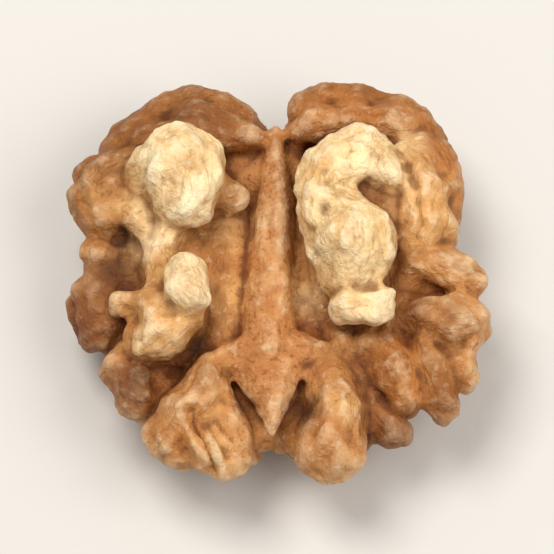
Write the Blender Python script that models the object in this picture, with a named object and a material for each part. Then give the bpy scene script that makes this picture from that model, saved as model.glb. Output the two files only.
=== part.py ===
"""One half of a shelled walnut kernel, lying on its rounded back with its inner face up.

X runs across the two lobes, Y from the pointed tip at -Y to the notched end at +Y, and Z up.
The origin is on the surface that the kernel lies on, under its middle.
The kernel is one solid: fat folds of flesh, grown together over a flat bed.
"""

import math
import random

import bmesh
import bpy
from mathutils import Matrix, Vector, noise

MM = 0.001

# Driving dimensions, in millimetres
WIDTH = 33.6
LENGTH = 34.0
HEIGHT = 15.4

# The rounded back, as the dome that the middles of its folds lie on
BACK_FOLD_RADIUS = 2.2
DOME_HALF_WIDTH = WIDTH / 2 - 2.7
DOME_HALF_LENGTH = LENGTH / 2 - 3.2
DOME_DEPTH = 5.6

# The back's folds run out from both sides of its middle line, each winding and swelling along its way
FOLDS_PER_SIDE = 6
FIRST_FOLD_ANGLE = math.radians(-66)
LAST_FOLD_ANGLE = math.radians(74)
FOLD_ANGLE_SCATTER = math.radians(3)
MEDIAN_HALF_GAP = 2.2
MEDIAN_HALF_SPREAD = 10.4
LONG_FOLD_WIDTHS = (0.88, 1.0)
SHORT_FOLD_WIDTHS = (0.7, 0.84)
SHORT_FOLD_STARTS = (0.4, 0.55)
FOLD_SWINGS = (1.0, 1.8)
FOLD_WINDINGS = 1.2
FOLD_SWELLING = 0.14
FOLD_SWELLINGS = 2.5
FOLD_LEGS = 6
SEED = 11

# Flesh under the folds: middle, then half width, half length and half thickness
BEDS = (
    ((0.0, 0.0, 5.4), (12.8, 12.6, 2.6)),
    ((0.0, 0.0, 4.6), (2.8, 12.6, 3.6)),
    ((-7.6, 2.4, 6.8), (5.6, 9.6, 2.4)),
    ((7.8, 1.0, 6.8), (6.2, 10.2, 2.4)),
    ((0.0, 9.4, 6.0), (5.0, 4.0, 2.4)),
)

# Folds of the inner face, each a route of x, y, z and radius in millimetres
INNER_FOLDS = {
    "spear": ((0.0, 12.4, 8.8, 0.6), (-0.1, 8.0, 8.6, 1.3), (-0.3, 3.0, 8.4, 1.8), (-0.3, -6.0, 8.2, 2.1)),
    "spear_crest": (
        (0.0, 11.4, 9.2, 0.5), (0.2, 6.0, 9.4, 0.8),
        (0.2, 0.0, 9.5, 0.9), (-0.2, -6.0, 9.3, 1.1),
    ),
    "left_barb": ((-0.8, -5.2, 8.4, 1.5), (-2.8, -6.2, 8.3, 1.3), (-4.6, -7.2, 8.2, 0.9)),
    "right_barb": ((0.2, -5.2, 8.4, 1.5), (2.4, -6.0, 8.3, 1.3), (4.2, -6.8, 8.2, 0.9)),
    "left_knob": (
        (-9.7, 7.9, 10.6, 2.2), (-7.6, 8.2, 11.4, 3.6),
        (-6.9, 6.6, 11.6, 3.2), (-7.0, 5.2, 11.4, 2.5),
    ),
    "left_nub": ((-4.6, 6.6, 9.8, 1.5), (-3.4, 6.3, 9.4, 1.2)),
    "left_trough": ((-3.6, 4.6, 6.5, 1.8), (-3.8, 0.0, 6.6, 2.1), (-4.0, -4.4, 6.6, 2.0)),
    "left_neck": ((-8.2, 3.4, 9.6, 1.7), (-9.0, 1.4, 9.4, 1.5), (-8.6, -1.2, 9.6, 1.6)),
    "left_bead": ((-6.8, -1.5, 11.6, 2.0), (-6.6, -2.0, 11.6, 2.1)),
    "left_mitten": ((-7.2, -3.5, 9.2, 2.2), (-8.6, -4.4, 9.3, 2.7), (-9.5, -5.2, 9.1, 2.3)),
    "left_thumb": ((-9.6, -3.5, 9.3, 1.9), (-11.9, -2.7, 9.3, 1.1)),
    "left_shoulder": ((-10.8, 8.9, 8.2, 2.2), (-13.6, 7.6, 7.8, 2.9), (-13.2, 5.2, 8.0, 2.2)),
    "left_collar": (
        (-13.2, 6.0, 8.6, 1.6), (-11.0, 5.6, 9.0, 1.8),
        (-9.8, 3.6, 9.2, 1.5), (-9.3, 1.2, 9.0, 1.0),
    ),
    "left_flank": ((-9.8, 0.4, 5.8, 2.0), (-13.2, -0.2, 5.8, 2.6), (-13.6, -2.8, 5.6, 2.4)),
    "left_foot": (
        (-4.9, -7.6, 7.8, 1.5), (-5.4, -9.8, 8.0, 2.4),
        (-6.6, -11.8, 7.9, 2.9), (-7.6, -12.8, 7.4, 2.4),
    ),
    "left_toe": ((-5.0, -10.2, 8.0, 2.0), (-4.2, -12.2, 7.9, 2.2), (-3.6, -14.0, 7.6, 2.2)),
    "left_toe_crest": ((-6.0, -12.2, 9.3, 1.0), (-5.0, -14.2, 9.1, 1.2), (-3.9, -15.6, 8.2, 1.0)),
    "right_kidney": (
        (9.0, 7.4, 11.3, 1.8), (7.4, 8.9, 11.6, 2.1), (5.0, 8.4, 11.7, 2.3), (3.9, 5.8, 11.5, 2.2),
        (4.9, 3.2, 11.4, 2.9), (6.1, 1.2, 11.6, 3.6), (5.7, -1.4, 11.0, 2.5),
    ),
    "right_kidney_heel": ((5.5, -3.3, 10.9, 1.8), (7.8, -3.2, 11.2, 1.7)),
    "right_notch_floor": ((7.0, 6.4, 10.2, 1.4), (8.6, 5.4, 9.8, 1.7), (9.4, 3.8, 9.0, 1.5)),
    "right_ear_rim": ((10.6, 10.4, 8.6, 1.6), (12.6, 9.6, 8.6, 2.0), (13.3, 7.4, 8.4, 1.7)),
    "right_ear": (
        (10.2, 9.2, 9.4, 1.6), (11.2, 7.0, 9.6, 2.3),
        (11.7, 4.6, 9.6, 2.3), (11.4, 3.0, 9.0, 2.0),
    ),
    "right_ear_root": ((10.2, 5.4, 8.4, 1.9), (10.6, 2.4, 8.2, 1.7)),
    "right_ear_lobe": ((11.8, 0.7, 8.8, 1.6), (13.4, 0.4, 9.2, 2.0), (14.6, -0.4, 9.0, 1.6)),
    "right_pad": (
        (11.6, -3.6, 8.2, 1.8), (13.6, -4.0, 8.6, 2.2),
        (15.2, -4.2, 8.4, 1.9), (14.8, -5.8, 8.2, 1.5),
    ),
    "right_finger_1": ((8.9, -5.8, 8.4, 1.4), (9.8, -8.0, 8.4, 1.4), (10.4, -9.6, 7.9, 1.3)),
    "right_finger_2": ((11.5, -5.8, 8.4, 1.3), (12.5, -8.6, 8.2, 1.4), (13.0, -10.2, 7.6, 1.4)),
    "right_finger_3": ((13.8, -6.2, 8.0, 1.3), (14.6, -7.2, 7.8, 1.4), (14.8, -7.8, 7.5, 1.3)),
    "right_slope": ((7.4, -5.4, 7.6, 1.7), (8.6, -7.2, 7.2, 1.6)),
    "right_shin": ((5.4, -5.2, 8.0, 1.2), (6.6, -8.4, 7.2, 1.1)),
    "right_heel": ((6.4, -8.4, 6.4, 1.7), (8.0, -10.8, 6.0, 1.9), (9.0, -12.0, 6.0, 1.7)),
    "right_foot": (
        (4.2, -8.0, 8.0, 1.8), (4.9, -10.2, 8.1, 2.3),
        (4.6, -12.6, 7.9, 2.8), (4.3, -13.6, 7.4, 2.9),
    ),
    "left_crown": (
        (-1.7, 11.8, 8.8, 1.0), (-3.6, 12.2, 8.6, 1.8),
        (-6.0, 12.6, 8.2, 2.1), (-9.6, 11.4, 8.0, 2.1),
    ),
    "left_crown_top": (
        (-2.9, 14.0, 7.2, 1.7), (-6.2, 14.6, 6.8, 2.2),
        (-9.6, 13.0, 6.8, 2.3), (-12.0, 10.8, 7.2, 2.1),
    ),
    "right_crown": (
        (1.9, 12.3, 8.9, 1.0), (3.6, 12.7, 9.0, 1.7),
        (6.0, 13.1, 8.8, 1.9), (9.6, 12.4, 8.6, 1.9),
    ),
    "right_crown_top": (
        (2.7, 14.6, 7.8, 1.7), (6.0, 15.0, 7.6, 2.2),
        (8.8, 14.2, 7.4, 2.2), (11.6, 11.6, 7.4, 2.0),
    ),
}

# The pointed blade that ends the spear between the feet: the corners of its convex outline
BLADE_CORNERS = {
    "back": (-0.4, -4.0, 8.4),
    "left": (-3.4, -7.3, 8.5),
    "right": (3.0, -7.1, 8.5),
    "left_waist": (-2.3, -9.8, 8.6),
    "right_waist": (1.5, -9.8, 8.6),
    "point": (-0.4, -13.4, 8.8),
    "left_crest": (-1.7, -7.3, 9.9),
    "right_crest": (1.2, -7.1, 9.9),
    "nose": (-0.4, -11.6, 9.8),
    "keel": (-0.3, -8.0, 4.8),
}

# Surface
VOXEL = 0.34
CREASE_SMOOTHING_ROUNDS = 2
RELIEF_SMOOTHING_ROUNDS = 1
WARP_LENGTH = 6.0
WARP = 0.55
LUMP_SPACING = 2.3
LUMP_HEIGHT = 0.5
BUMP_SPACING = 1.1
BUMP_HEIGHT = 0.18

# Furrows follow the lines where a noise is zero. They are deeper on the back, and the lumps there lower.
FURROW_SPACING = 4.0
BACK_FURROW_DEPTH = 1.4
INNER_FURROW_DEPTH = 0.3
FURROW_SHARPNESS = 6.0
FURROW_MEAN = 0.6
BACK_ENDS = (5.0, 8.0)
BACK_LUMPS = 0.5

# Where in the noise each axis of a wandering shift is read
WANDER_PLACES = (Vector((31.4, 0.0, 0.0)), Vector((0.0, 47.1, 0.0)), Vector((0.0, 0.0, 62.8)))

# The strip along the spear is nearly smooth: its middle and half widths in X, and its floor and top in Z
STRIP_MIDDLE = -0.5
STRIP_EDGE = (2.4, 3.6)
STRIP_FLOOR = (6.0, 7.5)
STRIP_TOP = (10.0, 10.6)
STRIP_RELIEF = 0.15

TRIANGLES = 10500
REST_CUT = 0.7

SKIN_COLOUR = (0.74, 0.47, 0.22, 1.0)
SKIN_ROUGHNESS = 0.55

ROUTE_STEPS_PER_LEG = 5
TUBE_RESOLUTION = 3
END_CAP_SHARES = (0.5, 0.8, 0.95)


def clear_scene():
    for obj in list(bpy.data.objects):
        bpy.data.objects.remove(obj)


def smooth_route(points):
    """The points of a Catmull-Rom curve through a route. Each point is x, y, z and radius."""
    knots = [Vector(p) for p in points]
    ends = [2 * knots[0] - knots[1], *knots, 2 * knots[-1] - knots[-2]]
    route = []
    for a, b, c, d in zip(ends, ends[1:], ends[2:], ends[3:]):
        square = 2 * a - 5 * b + 4 * c - d
        cube = 3 * b - a - 3 * c + d
        for step in range(ROUTE_STEPS_PER_LEG):
            t = step / ROUTE_STEPS_PER_LEG
            route.append(0.5 * (2 * b + (c - a) * t + square * t**2 + cube * t**3))
    route.append(knots[-1])
    return route


def with_round_ends(route):
    """A route with points added past both ends, where the radius closes as a half sphere."""

    def cap(end, inner):
        outward = (end.xyz - inner.xyz).normalized()
        return [
            Vector((*(end.xyz + outward * end.w * share), end.w * math.sqrt(1 - share * share)))
            for share in END_CAP_SHARES
        ]

    return cap(route[0], route[1])[::-1] + route + cap(route[-1], route[-2])


def add_fold(curve, points):
    route = with_round_ends(smooth_route(points))
    spline = curve.splines.new("POLY")
    spline.points.add(len(route) - 1)
    for point, place in zip(spline.points, route):
        point.co = (*(place.xyz * MM), 1)
        point.radius = place.w


def dome_height(x, y):
    """Height of the middle of the back's folds over a place in plan, in millimetres."""
    reach = min(1.0, math.hypot(x / DOME_HALF_WIDTH, y / DOME_HALF_LENGTH))
    return BACK_FOLD_RADIUS + DOME_DEPTH * (1 - math.sqrt(1 - reach * reach))


def back_fold(side, start_y, angle, start_share, radius, swing):
    """A winding route from near the middle line of the back out to the edge at an angle."""
    start = Vector((side * MEDIAN_HALF_GAP, start_y))
    edge = Vector((side * DOME_HALF_WIDTH * math.cos(angle), DOME_HALF_LENGTH * math.sin(angle)))
    across = (edge - start).orthogonal().normalized()
    route = []
    for leg in range(FOLD_LEGS + 1):
        t = start_share + (1 - start_share) * leg / FOLD_LEGS
        place = start.lerp(edge, t) + across * swing * math.sin(math.tau * FOLD_WINDINGS * t)
        swelling = FOLD_SWELLING * math.cos(math.tau * FOLD_SWELLINGS * leg / FOLD_LEGS)
        route.append((*place, dome_height(*place), radius * (1 + swelling)))
    return route


def back_folds():
    """Long folds from the middle line to the edge, and a short one between each two of them."""
    draw = random.Random(SEED)
    count = 2 * FOLDS_PER_SIDE - 1
    for side in (-1, 1):
        for i in range(count):
            share = i / (count - 1)
            is_long = i % 2 == 0
            widths = LONG_FOLD_WIDTHS if is_long else SHORT_FOLD_WIDTHS
            scatter = draw.uniform(-FOLD_ANGLE_SCATTER, FOLD_ANGLE_SCATTER)
            yield back_fold(
                side,
                start_y=(2 * share - 1) * MEDIAN_HALF_SPREAD,
                angle=FIRST_FOLD_ANGLE + (LAST_FOLD_ANGLE - FIRST_FOLD_ANGLE) * share + scatter,
                start_share=0.0 if is_long else draw.uniform(*SHORT_FOLD_STARTS),
                radius=BACK_FOLD_RADIUS * draw.uniform(*widths),
                swing=draw.uniform(*FOLD_SWINGS) * draw.choice((-1, 1)),
            )


def mesh_object(name, mesh):
    obj = bpy.data.objects.new(name, mesh)
    bpy.context.scene.collection.objects.link(obj)
    return obj


def applied(obj):
    """The mesh of an object with its modifiers applied."""
    bpy.context.view_layer.update()
    graph = bpy.context.evaluated_depsgraph_get()
    return bpy.data.meshes.new_from_object(obj.evaluated_get(graph))


def fold_mesh():
    """Every fold as a round-ended tube."""
    curve = bpy.data.curves.new("folds", "CURVE")
    curve.dimensions = "3D"
    curve.bevel_depth = MM
    curve.bevel_resolution = TUBE_RESOLUTION
    curve.use_fill_caps = True
    for points in INNER_FOLDS.values():
        add_fold(curve, points)
    for points in back_folds():
        add_fold(curve, points)
    obj = mesh_object("folds", curve)
    mesh = applied(obj)
    bpy.data.objects.remove(obj)
    return mesh


def rough_body():
    """The folds, the beds and the blade in one mesh, still running through each other."""
    body = bmesh.new()
    folds = fold_mesh()
    body.from_mesh(folds)
    bpy.data.meshes.remove(folds)
    bmesh.ops.remove_doubles(body, verts=body.verts, dist=1e-7)
    for middle, half_axes in BEDS:
        shape = Matrix.Translation(Vector(middle) * MM) @ Matrix.Diagonal((*(Vector(half_axes) * MM), 1))
        bmesh.ops.create_icosphere(body, subdivisions=4, radius=1, matrix=shape)
    corners = [body.verts.new(Vector(place) * MM) for place in BLADE_CORNERS.values()]
    bmesh.ops.convex_hull(body, input=corners)
    mesh = bpy.data.meshes.new("kernel")
    body.to_mesh(mesh)
    body.free()
    return mesh


def one_skin(mesh, smoothing_rounds):
    """One skin round all that runs through each other, with its creases softened."""
    obj = mesh_object("skin", mesh)
    remesh = obj.modifiers.new("one_skin", "REMESH")
    remesh.mode = "VOXEL"
    remesh.voxel_size = VOXEL * MM
    smooth = obj.modifiers.new("soft_creases", "SMOOTH")
    smooth.factor = 0.5
    smooth.iterations = smoothing_rounds
    grown = applied(obj)
    bpy.data.objects.remove(obj)
    return grown


def ramp(value, low, high):
    """0 at low, 1 at high, and even between them."""
    return min(1.0, max(0.0, (value - low) / (high - low)))


def wander(place):
    """A shift that changes softly from place to place, the same in every build."""
    return Vector([noise.noise(place + elsewhere) for elsewhere in WANDER_PLACES])


def strip_share(place):
    """How far a place is within the strip along the spear, from 0 to 1."""
    height_share = ramp(place.z, *STRIP_FLOOR) * (1 - ramp(place.z, *STRIP_TOP))
    return height_share * (1 - ramp(abs(place.x - STRIP_MIDDLE), *STRIP_EDGE))


def relief(place):
    """How far the surface stands out at a place, both in millimetres: lumps with furrows between."""
    lumps = noise.noise(place / LUMP_SPACING) * LUMP_HEIGHT + noise.noise(place / BUMP_SPACING) * BUMP_HEIGHT
    bent = place + wander(place / LUMP_SPACING)
    ridge = 1 - math.exp(-FURROW_SHARPNESS * abs(noise.noise(bent / FURROW_SPACING)))
    inner_share = ramp(place.z, *BACK_ENDS)
    lumps *= BACK_LUMPS + (1 - BACK_LUMPS) * inner_share
    furrow_depth = BACK_FURROW_DEPTH + (INNER_FURROW_DEPTH - BACK_FURROW_DEPTH) * inner_share
    share = 1 - (1 - STRIP_RELIEF) * strip_share(place)
    return (lumps + (ridge - FURROW_MEAN) * furrow_depth) * share


def raise_relief(mesh):
    """Bends the kernel a little out of true and raises lumps all over it."""
    moves = []
    for vertex in mesh.vertices:
        place = vertex.co / MM
        moves.append(wander(place / WARP_LENGTH) * WARP + vertex.normal * relief(place))
    for vertex, move in zip(mesh.vertices, moves):
        vertex.co += move * MM


def fit_to_size(mesh):
    """Scales the kernel to its three sizes over the origin, with what the rest cut takes off below."""
    lows = [min(v.co[i] for v in mesh.vertices) for i in range(3)]
    highs = [max(v.co[i] for v in mesh.vertices) for i in range(3)]
    sizes = (WIDTH * MM, LENGTH * MM, (HEIGHT + REST_CUT) * MM)
    for vertex in mesh.vertices:
        for i in range(3):
            vertex.co[i] = (vertex.co[i] - lows[i]) / (highs[i] - lows[i]) * sizes[i]
        vertex.co -= Vector((sizes[0] / 2, sizes[1] / 2, REST_CUT * MM))


def skin_material():
    material = bpy.data.materials.new("walnut_skin")
    material.use_nodes = True
    shader = material.node_tree.nodes["Principled BSDF"]
    shader.inputs["Base Color"].default_value = SKIN_COLOUR
    shader.inputs["Roughness"].default_value = SKIN_ROUGHNESS
    shader.inputs["Metallic"].default_value = 0.0
    material.diffuse_color = SKIN_COLOUR
    return material


def floor_cutter():
    """A block whose top is the surface that the kernel lies on."""
    depth = 5 * MM
    shape = Matrix.Translation((0, 0, -depth / 2)) @ Matrix.Diagonal((WIDTH * MM, LENGTH * MM, depth, 1))
    cutter = bmesh.new()
    bmesh.ops.create_cube(cutter, size=1, matrix=shape)
    mesh = bpy.data.meshes.new("floor_cutter")
    cutter.to_mesh(mesh)
    cutter.free()
    obj = mesh_object("floor_cutter", mesh)
    obj.hide_render = True
    obj.display_type = "WIRE"
    return obj


def build_kernel():
    mesh = one_skin(rough_body(), CREASE_SMOOTHING_ROUNDS)
    raise_relief(mesh)
    mesh = one_skin(mesh, RELIEF_SMOOTHING_ROUNDS)
    fit_to_size(mesh)
    mesh.shade_smooth()
    mesh.materials.append(skin_material())
    kernel = mesh_object("kernel", mesh)
    thin_out = kernel.modifiers.new("fewer_faces", "DECIMATE")
    thin_out.ratio = TRIANGLES / sum(len(p.vertices) - 2 for p in mesh.polygons)
    thin_out.use_collapse_triangulate = True
    rest = kernel.modifiers.new("flat_spots_to_lie_on", "BOOLEAN")
    rest.operation = "DIFFERENCE"
    rest.solver = "EXACT"
    rest.object = floor_cutter()
    return kernel


clear_scene()
build_kernel()
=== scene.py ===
"""One half of a shelled walnut kernel in its dried skin, and the plain stage that it is shown on.

Laid out as a Blender add-on: settings in property groups, and an operator each for kernel and stage.
Lengths in the tables are in millimetres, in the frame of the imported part.
"""

import math
import random

import bmesh
import bpy
import numpy as np
from bpy.props import FloatProperty, FloatVectorProperty, PointerProperty
from mathutils import Matrix, Vector, noise


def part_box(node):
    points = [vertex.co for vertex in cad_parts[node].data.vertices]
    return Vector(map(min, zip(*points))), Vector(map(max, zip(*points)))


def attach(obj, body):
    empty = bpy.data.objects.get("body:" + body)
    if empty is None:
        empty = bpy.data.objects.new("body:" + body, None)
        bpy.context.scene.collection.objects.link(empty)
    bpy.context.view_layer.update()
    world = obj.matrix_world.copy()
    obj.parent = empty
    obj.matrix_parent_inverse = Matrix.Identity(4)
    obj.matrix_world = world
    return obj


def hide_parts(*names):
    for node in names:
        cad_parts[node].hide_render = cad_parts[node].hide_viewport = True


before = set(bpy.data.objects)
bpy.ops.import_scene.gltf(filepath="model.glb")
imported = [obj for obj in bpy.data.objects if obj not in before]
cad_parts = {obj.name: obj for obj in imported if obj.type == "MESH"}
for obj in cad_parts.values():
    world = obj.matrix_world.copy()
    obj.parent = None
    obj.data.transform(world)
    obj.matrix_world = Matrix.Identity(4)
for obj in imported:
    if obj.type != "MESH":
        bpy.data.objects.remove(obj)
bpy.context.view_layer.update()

bl_info = {
    "name": "Walnut half",
    "version": (1, 0, 0),
    "blender": (4, 5, 0),
    "location": "View3D > Sidebar > Walnut",
    "description": "Builds a shelled walnut half with its wrinkled skin, on a plain stage",
    "category": "Add Mesh",
}

KERNEL_LOW, KERNEL_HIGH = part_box("kernel")
KERNEL_SIZE = KERNEL_HIGH - KERNEL_LOW

MM = 0.001

# The back is a dome that the middles of its round folds lie on
BACK_FOLD_RADIUS = 2.2
DOME_HALF_WIDTH = 14.1
DOME_HALF_LENGTH = 13.8
DOME_DEPTH = 5.6

# The back's folds run out from both sides of its middle line, each winding and swelling along its way
FOLDS_PER_SIDE = 6
FIRST_FOLD_ANGLE = math.radians(-66)
LAST_FOLD_ANGLE = math.radians(74)
FOLD_ANGLE_SCATTER = math.radians(3)
MEDIAN_HALF_GAP = 2.2
MEDIAN_HALF_SPREAD = 10.4
LONG_FOLD_WIDTHS = (0.88, 1.0)
SHORT_FOLD_WIDTHS = (0.7, 0.84)
SHORT_FOLD_STARTS = (0.4, 0.55)
FOLD_SWINGS = (1.0, 1.8)
FOLD_WINDINGS = 1.2
FOLD_SWELLING = 0.14
FOLD_SWELLINGS = 2.5
FOLD_LEGS = 6
SEED = 11

# Flesh under the folds: middle, then half width, half length and half thickness
BEDS = (
    ((0.0, 0.0, 5.4), (12.8, 12.6, 2.6)),
    ((0.0, 0.0, 4.6), (2.8, 12.6, 3.6)),
    ((-7.6, 2.4, 6.8), (5.6, 9.6, 2.4)),
    ((7.8, 1.0, 6.8), (6.2, 10.2, 2.4)),
    ((0.0, 9.4, 6.0), (5.0, 4.0, 2.4)),
)

# Folds of the inner face, each a route of x, y, z and radius in millimetres
INNER_FOLDS = {
    "spear": (
        (0.0, 12.4, 8.8, 0.6), (-0.1, 8.0, 8.6, 1.3),
        (-0.3, 3.0, 8.4, 1.8), (-0.3, -6.0, 8.2, 2.1),
    ),
    "spear_crest": (
        (0.0, 11.4, 9.2, 0.5), (0.2, 6.0, 9.4, 0.8),
        (0.2, 0.0, 9.5, 0.9), (-0.2, -6.0, 9.3, 1.1),
    ),
    "left_barb": ((-0.8, -5.2, 8.4, 1.5), (-2.8, -6.2, 8.3, 1.3), (-4.6, -7.2, 8.2, 0.9)),
    "right_barb": ((0.2, -5.2, 8.4, 1.5), (2.4, -6.0, 8.3, 1.3), (4.2, -6.8, 8.2, 0.9)),
    "left_knob": (
        (-9.7, 7.9, 10.6, 2.2), (-7.6, 8.2, 11.4, 3.6),
        (-6.9, 6.6, 11.6, 3.2), (-7.0, 5.2, 11.4, 2.5),
    ),
    "left_nub": ((-4.6, 6.6, 9.8, 1.5), (-3.4, 6.3, 9.4, 1.2)),
    "left_trough": ((-3.6, 4.6, 6.5, 1.8), (-3.8, 0.0, 6.6, 2.1), (-4.0, -4.4, 6.6, 2.0)),
    "left_neck": ((-8.2, 3.4, 9.6, 1.7), (-9.0, 1.4, 9.4, 1.5), (-8.6, -1.2, 9.6, 1.6)),
    "left_bead": ((-6.8, -1.5, 11.6, 2.0), (-6.6, -2.0, 11.6, 2.1)),
    "left_mitten": ((-7.2, -3.5, 9.2, 2.2), (-8.6, -4.4, 9.3, 2.7), (-9.5, -5.2, 9.1, 2.3)),
    "left_thumb": ((-9.6, -3.5, 9.3, 1.9), (-11.9, -2.7, 9.3, 1.1)),
    "left_shoulder": ((-10.8, 8.9, 8.2, 2.2), (-13.6, 7.6, 7.8, 2.9), (-13.2, 5.2, 8.0, 2.2)),
    "left_collar": (
        (-13.2, 6.0, 8.6, 1.6), (-11.0, 5.6, 9.0, 1.8),
        (-9.8, 3.6, 9.2, 1.5), (-9.3, 1.2, 9.0, 1.0),
    ),
    "left_flank": ((-9.8, 0.4, 5.8, 2.0), (-13.2, -0.2, 5.8, 2.6), (-13.6, -2.8, 5.6, 2.4)),
    "left_foot": (
        (-4.9, -7.6, 7.8, 1.5), (-5.4, -9.8, 8.0, 2.4),
        (-6.6, -11.8, 7.9, 2.9), (-7.6, -12.8, 7.4, 2.4),
    ),
    "left_toe": ((-5.0, -10.2, 8.0, 2.0), (-4.2, -12.2, 7.9, 2.2), (-3.6, -14.0, 7.6, 2.2)),
    "left_toe_crest": ((-6.0, -12.2, 9.3, 1.0), (-5.0, -14.2, 9.1, 1.2), (-3.9, -15.6, 8.2, 1.0)),
    "right_kidney": (
        (9.0, 7.4, 11.3, 1.8), (7.4, 8.9, 11.6, 2.1),
        (5.0, 8.4, 11.7, 2.3), (3.9, 5.8, 11.5, 2.2),
        (4.9, 3.2, 11.4, 2.9), (6.1, 1.2, 11.6, 3.6),
        (5.7, -1.4, 11.0, 2.5),
    ),
    "right_kidney_heel": ((5.5, -3.3, 10.9, 1.8), (7.8, -3.2, 11.2, 1.7)),
    "right_notch_floor": ((7.0, 6.4, 10.2, 1.4), (8.6, 5.4, 9.8, 1.7), (9.4, 3.8, 9.0, 1.5)),
    "right_ear_rim": ((10.6, 10.4, 8.6, 1.6), (12.6, 9.6, 8.6, 2.0), (13.3, 7.4, 8.4, 1.7)),
    "right_ear": (
        (10.2, 9.2, 9.4, 1.6), (11.2, 7.0, 9.6, 2.3),
        (11.7, 4.6, 9.6, 2.3), (11.4, 3.0, 9.0, 2.0),
    ),
    "right_ear_root": ((10.2, 5.4, 8.4, 1.9), (10.6, 2.4, 8.2, 1.7)),
    "right_ear_lobe": ((11.8, 0.7, 8.8, 1.6), (13.4, 0.4, 9.2, 2.0), (14.6, -0.4, 9.0, 1.6)),
    "right_pad": (
        (11.6, -3.6, 8.2, 1.8), (13.6, -4.0, 8.6, 2.2),
        (15.2, -4.2, 8.4, 1.9), (14.8, -5.8, 8.2, 1.5),
    ),
    "right_finger_1": ((8.9, -5.8, 8.4, 1.4), (9.8, -8.0, 8.4, 1.4), (10.4, -9.6, 7.9, 1.3)),
    "right_finger_2": ((11.5, -5.8, 8.4, 1.3), (12.5, -8.6, 8.2, 1.4), (13.0, -10.2, 7.6, 1.4)),
    "right_finger_3": ((13.8, -6.2, 8.0, 1.3), (14.6, -7.2, 7.8, 1.4), (14.8, -7.8, 7.5, 1.3)),
    "right_slope": ((7.4, -5.4, 7.6, 1.7), (8.6, -7.2, 7.2, 1.6)),
    "right_shin": ((5.4, -5.2, 8.0, 1.2), (6.6, -8.4, 7.2, 1.1)),
    "right_heel": ((6.4, -8.4, 6.4, 1.7), (8.0, -10.8, 6.0, 1.9), (9.0, -12.0, 6.0, 1.7)),
    "right_foot": (
        (4.2, -8.0, 8.0, 1.8), (4.9, -10.2, 8.1, 2.3),
        (4.6, -12.6, 7.9, 2.8), (4.3, -13.6, 7.4, 2.9),
    ),
    "left_crown": (
        (-1.7, 11.8, 8.8, 1.0), (-3.6, 12.2, 8.6, 1.8),
        (-6.0, 12.6, 8.2, 2.1), (-9.6, 11.4, 8.0, 2.1),
    ),
    "left_crown_top": (
        (-2.9, 14.0, 7.2, 1.7), (-6.2, 14.6, 6.8, 2.2),
        (-9.6, 13.0, 6.8, 2.3), (-12.0, 10.8, 7.2, 2.1),
    ),
    "right_crown": (
        (1.9, 12.3, 8.9, 1.0), (3.6, 12.7, 9.0, 1.7),
        (6.0, 13.1, 8.8, 1.9), (9.6, 12.4, 8.6, 1.9),
    ),
    "right_crown_top": (
        (2.7, 14.6, 7.8, 1.7), (6.0, 15.0, 7.6, 2.2),
        (8.8, 14.2, 7.4, 2.2), (11.6, 11.6, 7.4, 2.0),
    ),
}

# The pointed blade that ends the spear between the feet: the corners of its convex outline
BLADE_CORNERS = {
    "back": (-0.4, -4.0, 8.4),
    "left": (-3.4, -7.3, 8.5),
    "right": (3.0, -7.1, 8.5),
    "left_waist": (-2.3, -9.8, 8.6),
    "right_waist": (1.5, -9.8, 8.6),
    "point": (-0.4, -13.4, 8.8),
    "left_crest": (-1.7, -7.3, 9.9),
    "right_crest": (1.2, -7.1, 9.9),
    "nose": (-0.4, -11.6, 9.8),
    "keel": (-0.3, -8.0, 4.8),
}

# The blade's middle line, which its skin follows
BLADE_ROUTE = ((-0.4, -5.0, 8.6, 2.4), (-0.4, -9.0, 8.8, 2.0), (-0.4, -13.0, 8.8, 0.6))

# How the folds' tubes are drawn, and how they are grown together and softened
ROUTE_STEPS_PER_LEG = 5
TUBE_RESOLUTION = 3
END_CAP_SHARES = (0.5, 0.8, 0.95)
WELD_DISTANCE = 0.0001 * MM
BED_SUBDIVISIONS = 4
SMOOTHING_FACTOR = 0.5
CREASE_SMOOTHING_ROUNDS = 2
RELIEF_SMOOTHING_ROUNDS = 1

# The kernel is bent a little out of true, and lumps of two sizes stand out of it
WARP_LENGTH = 6.0
WARP = 0.55
LUMP_SPACING = 2.3
LUMP_HEIGHT = 0.5
BUMP_SPACING = 1.1
BUMP_HEIGHT = 0.18

# Furrows follow the lines where a noise is zero. Between the two heights that end the back, their depth
# passes to the inner face's, and the lumps grow from their share on the back to their full height.
FURROW_SPACING = 4.0
BACK_FURROW_DEPTH = 1.4
INNER_FURROW_DEPTH = 0.3
FURROW_SHARPNESS = 6.0
FURROW_MEAN = 0.6
BACK_ENDS = (5.0, 8.0)
BACK_LUMPS = 0.5

# Where in the noise each axis of a wandering shift is read, in millimetres
WANDER_PLACES = (Vector((31.4, 0.0, 0.0)), Vector((0.0, 47.1, 0.0)), Vector((0.0, 0.0, 62.8)))

# The strip along the spear is nearly smooth. It has a middle and half widths in X and a floor and a top
# in Z, and fades out between the two values of each. It keeps this share of the relief.
STRIP_MIDDLE = -0.5
STRIP_EDGE = (2.4, 3.6)
STRIP_FLOOR = (6.0, 7.5)
STRIP_TOP = (10.0, 10.6)
STRIP_RELIEF = 0.15

# The lowest folds are cut flat by this much, so that the kernel lies still
REST_CUT = 0.7

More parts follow.
